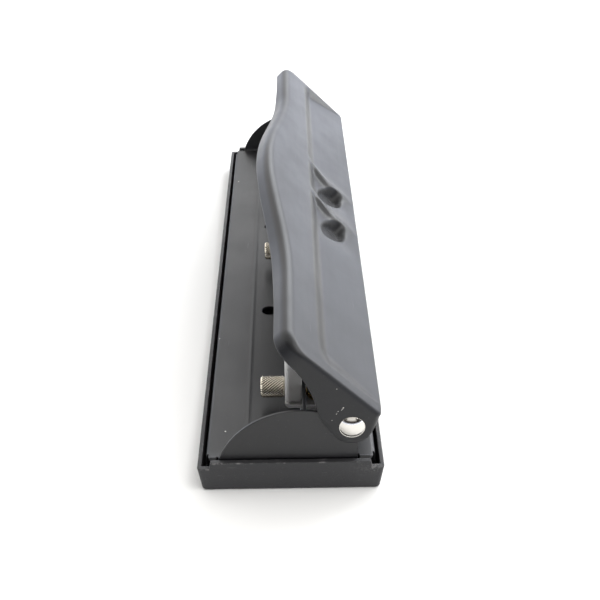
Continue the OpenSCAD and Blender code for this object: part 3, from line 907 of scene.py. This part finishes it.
def build_head(side):
    """One folded punch head, worked out flat and then bent: die leg, guide leg, front wall, side flanges."""
    thickness, half, die_end, guide = 1.6, 8.0, 19.5, 23.3
    back_r, up_r, side_bend, side_r = 1.8, 1.3, 6.1, 1.1
    path = [(die_end, 0), (back_r, 180), (guide, 0), (up_r, -90), (50, 0)]
    guide_start = die_end + back_r * math.pi
    wall_start = guide_start + guide + up_r * math.pi / 2
    side_arc = side_r * math.pi / 2
    wall_foot, flange_foot, wall_top = 18.6, 19.6, 40.4

    def at_height(z):
        return wall_start + z - wall_foot

    def across(y):
        return side_bend + side_arc + y

    side_edge = [(0, half, 1.2), (at_height(18.9), half, 0.3), (at_height(18.9), side_bend, 0.3),
                 (at_height(flange_foot), side_bend, 0.3), (at_height(flange_foot), across(4.0), 0.8),
                 (at_height(21.4), across(4.5), 1.5), (at_height(32), across(4.5), 2.5),
                 (at_height(wall_top), across(1.5), 1.0)]
    outline = rounded([(u, -x, r) for u, x, r in side_edge] + [(u, x, r) for u, x, r in reversed(side_edge)])
    holes = [circle(PIN_Y - 4, 0, BORE_R), circle(guide_start + 23.5 - PIN_Y, 0, BUSH_R),
             circle(at_height(SCREW_Z), 0, THREAD_R, 32)]
    bm = slab(outline, holes, thickness, 0.14)
    cut(bm, 0, np.linspace(die_end, guide_start, 17))
    cut(bm, 0, np.linspace(guide_start + guide, wall_start, 8))
    for sign in (-1, 1):
        cut(bm, 1, sign * np.linspace(side_bend, side_bend + side_arc, 8))
    for vert in bm.verts:
        u, x, height = vert.co
        wide, off = abs(x), height - thickness / 2
        if u > at_height(19.0) and wide > side_bend:
            wide, off = follow((side_bend, 0), 0, [(side_r, -90), (50, 0)], wide - side_bend, off)
        y, z = follow((4.0, 13.7), 0, path, u, off)
        vert.co = (HEAD_X[side] + math.copysign(wide, x), y, z)
    return from_bmesh(f"head_pressing_{side}", bm, sharp=32)


def build_thumb_screw(side):
    """Thumb screw with a diamond knurl between two chamfers, a dished face and a plain shank."""
    face_y, r, length, chamfer, shank = -2.0, 4.2, 9.3, 0.65, 2.0
    around, along, teeth, pitch, knurl = 216, 66, 24, 1.3, 0.36
    dish = [(1.2, 8.8), (2.4, 8.92), (3.15, 9.15), (3.4, 9.3), (r - chamfer, length)]
    bm = bmesh.new()
    # How deep each point is cut into the knurl, which the finish uses to paint shade into the grooves.
    tarnish_and_groove_shade = bm.verts.layers.float.new("cut")

    def ring(radius, height, depth=0.0):
        out = []
        for a in full_turn(around):
            tooth = teeth * a / (2 * math.pi)
            groove = abs(((tooth + height / pitch) % 1) - 0.5) * 2
            cross = abs(((tooth - height / pitch) % 1) - 0.5) * 2
            cut_in = depth * max(groove ** 1.8, 0.38 * cross ** 3)
            rr = radius - cut_in
            place = (HEAD_X[side] + rr * math.cos(a), face_y - height, SCREW_Z + rr * math.sin(a))
            out.append(bm.verts.new(place))
            out[-1][tarnish_and_groove_shade] = cut_in / knurl
        return out

    rings = [ring(radius, height) for radius, height in dish]
    rings += [ring(r, length - chamfer - (length - 2 * chamfer) * k / along, knurl) for k in range(along + 1)]
    rings += [ring(radius, height) for radius, height in
              ((r - chamfer, 0.0), (2.6, 0.0), (shank, -0.1), (shank, -6.0), (shank - 0.4, -6.4))]
    for one, two in zip(rings, rings[1:]):
        bridge(bm, one, two)
    bm.faces.new(rings[0])
    bm.faces.new(rings[-1][::-1])
    return from_bmesh(f"screw_knurled_{side}", bm, sharp=42, weighted=False)


def build_nut(side):
    y, size, thickness = -0.3, 2.75, 2.4
    bm = slab(rectangle(-size, -size, size, size, 0.4), [circle(0, 0, THREAD_R, 32)], thickness, 0.2)
    for vert in bm.verts:
        u, w, height = vert.co
        vert.co = (HEAD_X[side] + u, y + height, SCREW_Z + w)
    return from_bmesh(f"nut_square_{side}", bm)


def build_bush(side):
    flange = 6.4
    profile = [(BORE_R + 0.3, 16.5), (BUSH_R - 0.2, 16.5), (BUSH_R, 16.7), (BUSH_R, 18.1),
               (flange - 0.2, 18.1), (flange, 18.3), (flange, 18.8), (flange - 0.2, SPRING_FOOT),
               (BUSH_R + 0.15, SPRING_FOOT), (BUSH_R, 19.15), (BUSH_R, 20.25), (BUSH_R - 0.25, 20.5),
               (BORE_R + 0.35, 20.5), (BORE_R, 20.15), (BORE_R, 16.8)]
    bm = lathe(profile, 72, lambda x, y, z: (HEAD_X[side] + x, PIN_Y + y, z))
    return from_bmesh(f"bush_turned_{side}", bm)


def build_pin(side):
    """Punch pin: chamfered top, groove for the clip, and a tip ground hollow to two cutting points."""
    r, tip, top, hollow, groove = 3.55, 16.7, 31.9, 1.2, 0.5
    profile = [(r, 17.2), (r, 20), (r, 25), (r, 29.45), (r - 0.12, 29.6), (r - groove, 29.62),
               (r - groove, 30.28), (r - 0.12, 30.3), (r, 30.45), (r, top - 0.55), (r - 0.12, top - 0.25),
               (r - 0.4, top - 0.05), (r - 0.8, top), (1.5, top)]
    bm = bmesh.new()
    angles = full_turn(72)

    def put(radius, a, z):
        return bm.verts.new((HEAD_X[side] + radius * math.cos(a), PIN_Y + radius * math.sin(a), z))

    def ground(radius, a):
        return tip + hollow * max(0.0, 1 - abs(radius * math.cos(a)) / (r - 0.4))

    rings = [[put(0, 0, tip + hollow)]]
    for radius in (0.5, 1.1, 1.7, 2.3, 2.9, r - 0.35, r - 0.02):
        rings.append([put(radius, a, ground(radius, a)) for a in angles])
    rings.append([put(r, a, ground(r, a) + 0.12) for a in angles])
    for radius, z in profile:
        rings.append([put(radius, a, max(z, ground(r, a) + 0.3)) for a in angles])
    rings.append([put(0, 0, top)])
    for low, high in zip(rings, rings[1:]):
        bridge(bm, low, high)
    return from_bmesh(f"pin_ground_{side}", bm, sharp=28)


def build_clip(side):
    """Open ring with rounded ends, in the pin's groove."""
    outer, inner, mouth = 6.2, 3.05, 2.6
    first = math.asin(mouth / inner)
    last = math.asin((mouth + 0.7) / outer)

    def arc(r, start, count):
        angles = np.linspace(start, 2 * math.pi - start, count)
        return [Vector((r * math.sin(a), r * math.cos(a))) for a in angles]

    bm = slab(arc(outer, last, 72)[::-1] + arc(inner, first, 48), [], 0.7, 0.1)
    for vert in bm.verts:
        vert.co = (HEAD_X[side] + vert.co.x, PIN_Y + vert.co.y, SPRING_HEAD + vert.co.z)
    return from_bmesh(f"clip_ring_{side}", bm)


def build_spring(side):
    """Return spring: four open turns between two closed, dressed ends."""
    wire, coil, turns, per_turn, end_turn = 0.4, 5.6, 6, 32, 0.8
    closed = 0.85 * wire * 2
    free = SPRING_HEAD - SPRING_FOOT - 2 * wire - 2 * closed
    path = []
    for k in range(turns * per_turn + 1):
        t = k / per_turn
        open_share = float(np.clip((t - end_turn) / (turns - 2 * end_turn), 0, 1))
        dressed = closed * (min(t, end_turn) + max(0.0, t - turns + end_turn)) / end_turn
        z = SPRING_FOOT + wire + dressed + free * open_share
        a = 2 * math.pi * t
        path.append((HEAD_X[side] + coil * math.cos(a), PIN_Y + coil * math.sin(a), z))
    return from_bmesh(f"spring_coil_{side}", tube(path, wire), sharp=60, weighted=False)


# ---- hinge


def on_hinge(side):
    """Place on a hinge's axis, with height measured outwards along X."""
    return lambda x, y, height: (SIDES[side] * height, HINGE[0] + x, HINGE[1] + y)


def build_rivet(side):
    """Shoulder rivet with a polished dome outside and a rolled tail inside."""
    r, rise = 4.6, 1.9
    ball = (r * r + rise * rise) / (2 * rise)
    widest = math.asin(r / ball)
    dome = [(ball * math.sin(a), FLANGE_OUT + rise - ball + ball * math.cos(a))
            for a in np.linspace(0, widest * 0.965, 26)]
    profile = dome + [(r, FLANGE_OUT + 0.16), (r, FLANGE_OUT + 0.04), (r - 0.08, FLANGE_OUT),
                      (RIVET_R, FLANGE_OUT), (RIVET_R, 139.0), (3.25, 139.0), (3.4, 138.85), (3.38, 138.55),
                      (3.1, 138.2), (2.5, 138.0), (1.9, 138.02), (1.35, 138.25), (1.0, 138.6), (0.0, 138.7)]
    return from_bmesh(f"rivet_domed_{side}", lathe(profile, 96, on_hinge(side)), weighted=False)


def build_washer(side):
    profile = [(RIVET_R, 139.1), (RIVET_R + 0.1, 139.0), (4.85, 139.0), (5.0, 139.12), (5.0, 139.68),
               (4.85, 139.8), (RIVET_R + 0.1, 139.8), (RIVET_R, 139.7)]
    return from_bmesh(f"washer_{side}", lathe(profile, 64, on_hinge(side)))


# ---- assembly

install(build_tray(), "tray", "tray_plastic", TRAY_PLASTIC, "tray")
install(build_base_plate(), "base", "base_paint", BASE_PAINT, "base_plate")
install(build_rail(), "base", "base_paint", BASE_PAINT, "guide_rail")
install(build_handle(), "handle", "black_paint", HANDLE_PAINT, "handle")
install(build_pressure_bar(), "handle", "black_paint", BAR_PAINT, "pressure_bar")
for end in ("left", "right"):
    install(build_rivet(end), "handle", "nickel", RIVET_NICKEL, f"hinge_rivet_{end}")
    install(build_washer(end), "handle", "zinc_steel", ZINC, f"rivet_washer_{end}")
for name in SIDES:
    install(build_head(name), f"head_{name}", "head_steel", HEAD_STEEL, f"head_{name}")
    install(build_bush(name), f"head_{name}", "brass", BRASS, f"guide_bush_{name}")
    install(build_nut(name), f"head_{name}", "zinc_steel", ZINC, f"screw_nut_{name}")
    install(build_thumb_screw(name), f"screw_{name}", "nickel", NICKEL, f"thumb_screw_{name}")
    install(build_pin(name), f"pin_{name}", "tool_steel", TOOL_STEEL, f"punch_pin_{name}")
    install(build_clip(name), f"pin_{name}", "spring_steel", SPRING_STEEL, f"spring_clip_{name}")
    coil = build_spring(name)
    install(coil, f"head_{name}", "spring_steel", SPRING_STEEL, f"return_spring_{name}")
    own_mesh(coil)


# ---- studio


def build_floor():
    """Flat pale paper, so large that its edge lies near the horizon."""
    f = Finish("pale_paper", Specular_IOR_Level=0.2)
    fibre = f.noise(0.9, 4)
    color = f.blend(f.noise(160, 2), (0.86, 0.86, 0.85), (0.89, 0.89, 0.885))
    f.bump(fibre, 0.02)
    mesh = bpy.data.meshes.new("floor_paper")
    half = 30.0
    corners = [(-half, -half, 0), (half, -half, 0), (half, half, 0), (-half, half, 0)]
    mesh.from_pydata(corners, [], [(0, 1, 2, 3)])
    floor = link("floor_paper", mesh)
    mesh.materials.append(f.done(color, f.remap(fibre, 0.3, 0.7, 0.7, 0.85)))


def area_light(name, place, target, size, power, tint=(1, 1, 1)):
    data = bpy.data.lights.new(name, "AREA")
    data.shape = "RECTANGLE"
    data.size, data.size_y = size
    data.energy = power
    data.color = tint
    light = bpy.data.objects.new(name, data)
    bpy.context.scene.collection.objects.link(light)
    light.location = place
    light.rotation_euler = (Vector(target) - Vector(place)).to_track_quat("-Z", "Y").to_euler()


def build_camera():
    """Camera at the photograph's viewing angle."""
    place, lens = (0.40733, 0.00063, 0.24986), 57.78
    pitch, yaw, roll = math.radians(32.29), math.radians(0.68), math.radians(0.40)
    forward = Vector((-math.cos(pitch) * math.cos(yaw), math.cos(pitch) * math.sin(yaw), -math.sin(pitch)))
    flat = forward.cross(Vector((0, 0, 1))).normalized()
    under = forward.cross(flat)
    right = flat * math.cos(roll) + under * math.sin(roll)
    down = under * math.cos(roll) - flat * math.sin(roll)
    data = bpy.data.cameras.new("view")
    data.lens, data.sensor_width = lens, 36
    camera = bpy.data.objects.new("view", data)
    bpy.context.scene.collection.objects.link(camera)
    turn = Matrix((right, -down, -forward)).transposed().to_4x4()
    camera.matrix_world = Matrix.Translation(place) @ turn
    bpy.context.scene.camera = camera


def build_world():
    """White room, brightest at the horizon, with a dim strip and two dim spots for the steel to mirror."""
    world = bpy.data.worlds.new("white_room")
    world.use_nodes = True
    w = Nodes(world.node_tree, "Generated")
    x, y, z = w.node("SeparateXYZ", Vector=w.place).outputs
    broad = w.plus(w.remap(z, 0.55, 0.85, 0.75, 0.0), w.remap(z, 0.2, 0.42, 0.0, 0.45))
    level = w.plus(0.8, w.plus(broad, w.remap(z, 0.0, 0.09, 3.4, 0.0)))
    level = w.times(level, w.remap(y, -1.0, 1.0, 0.92, 1.12))
    level = w.times(level, w.remap(x, -0.2, 0.5, 1.0, 0.5))
    dim = w.times(w.remap(x, 0.35, 0.75), w.remap(z, 0.27, 0.52, 1.0, 0.0))
    for toward in ((0.40, -0.76, 0.50), (0.52, 0.74, 0.43)):
        dim = w.math("MAXIMUM", dim, w.remap(w.against("DOT_PRODUCT", toward), 0.88, 0.95))
    dim = w.times(dim, w.remap(z, 0.1, 0.18))
    level = w.times(level, w.math("SUBTRACT", 1.0, w.times(dim, 0.94)))
    hue = w.blend(w.remap(z, 0.0, 0.4), (0.85, 0.91, 1.08), (1.0, 0.985, 0.96))
    background = world.node_tree.nodes["Background"]
    w.put(background.inputs["Color"], w.blend(dim, hue, (0.62, 0.56, 0.50)))
    w.put(background.inputs["Strength"], level)
    bpy.context.scene.world = world


build_floor()
build_camera()
build_world()
area_light("window", (-0.95, 1.45, 0.70), (0, 0, 0.03), (0.6, 0.45), 9, (0.96, 0.98, 1.0))
area_light("backdrop", (-1.1, 0.45, 0.8), (-0.8, 0.2, 0), (1.0, 0.8), 12, (0.9, 0.94, 1.0))
area_light("overhead", (0.6, 1.0, 1.5), (0.1, 0, 0.03), (1.4, 1.4), 19)
bpy.context.scene.view_settings.view_transform = "Standard"
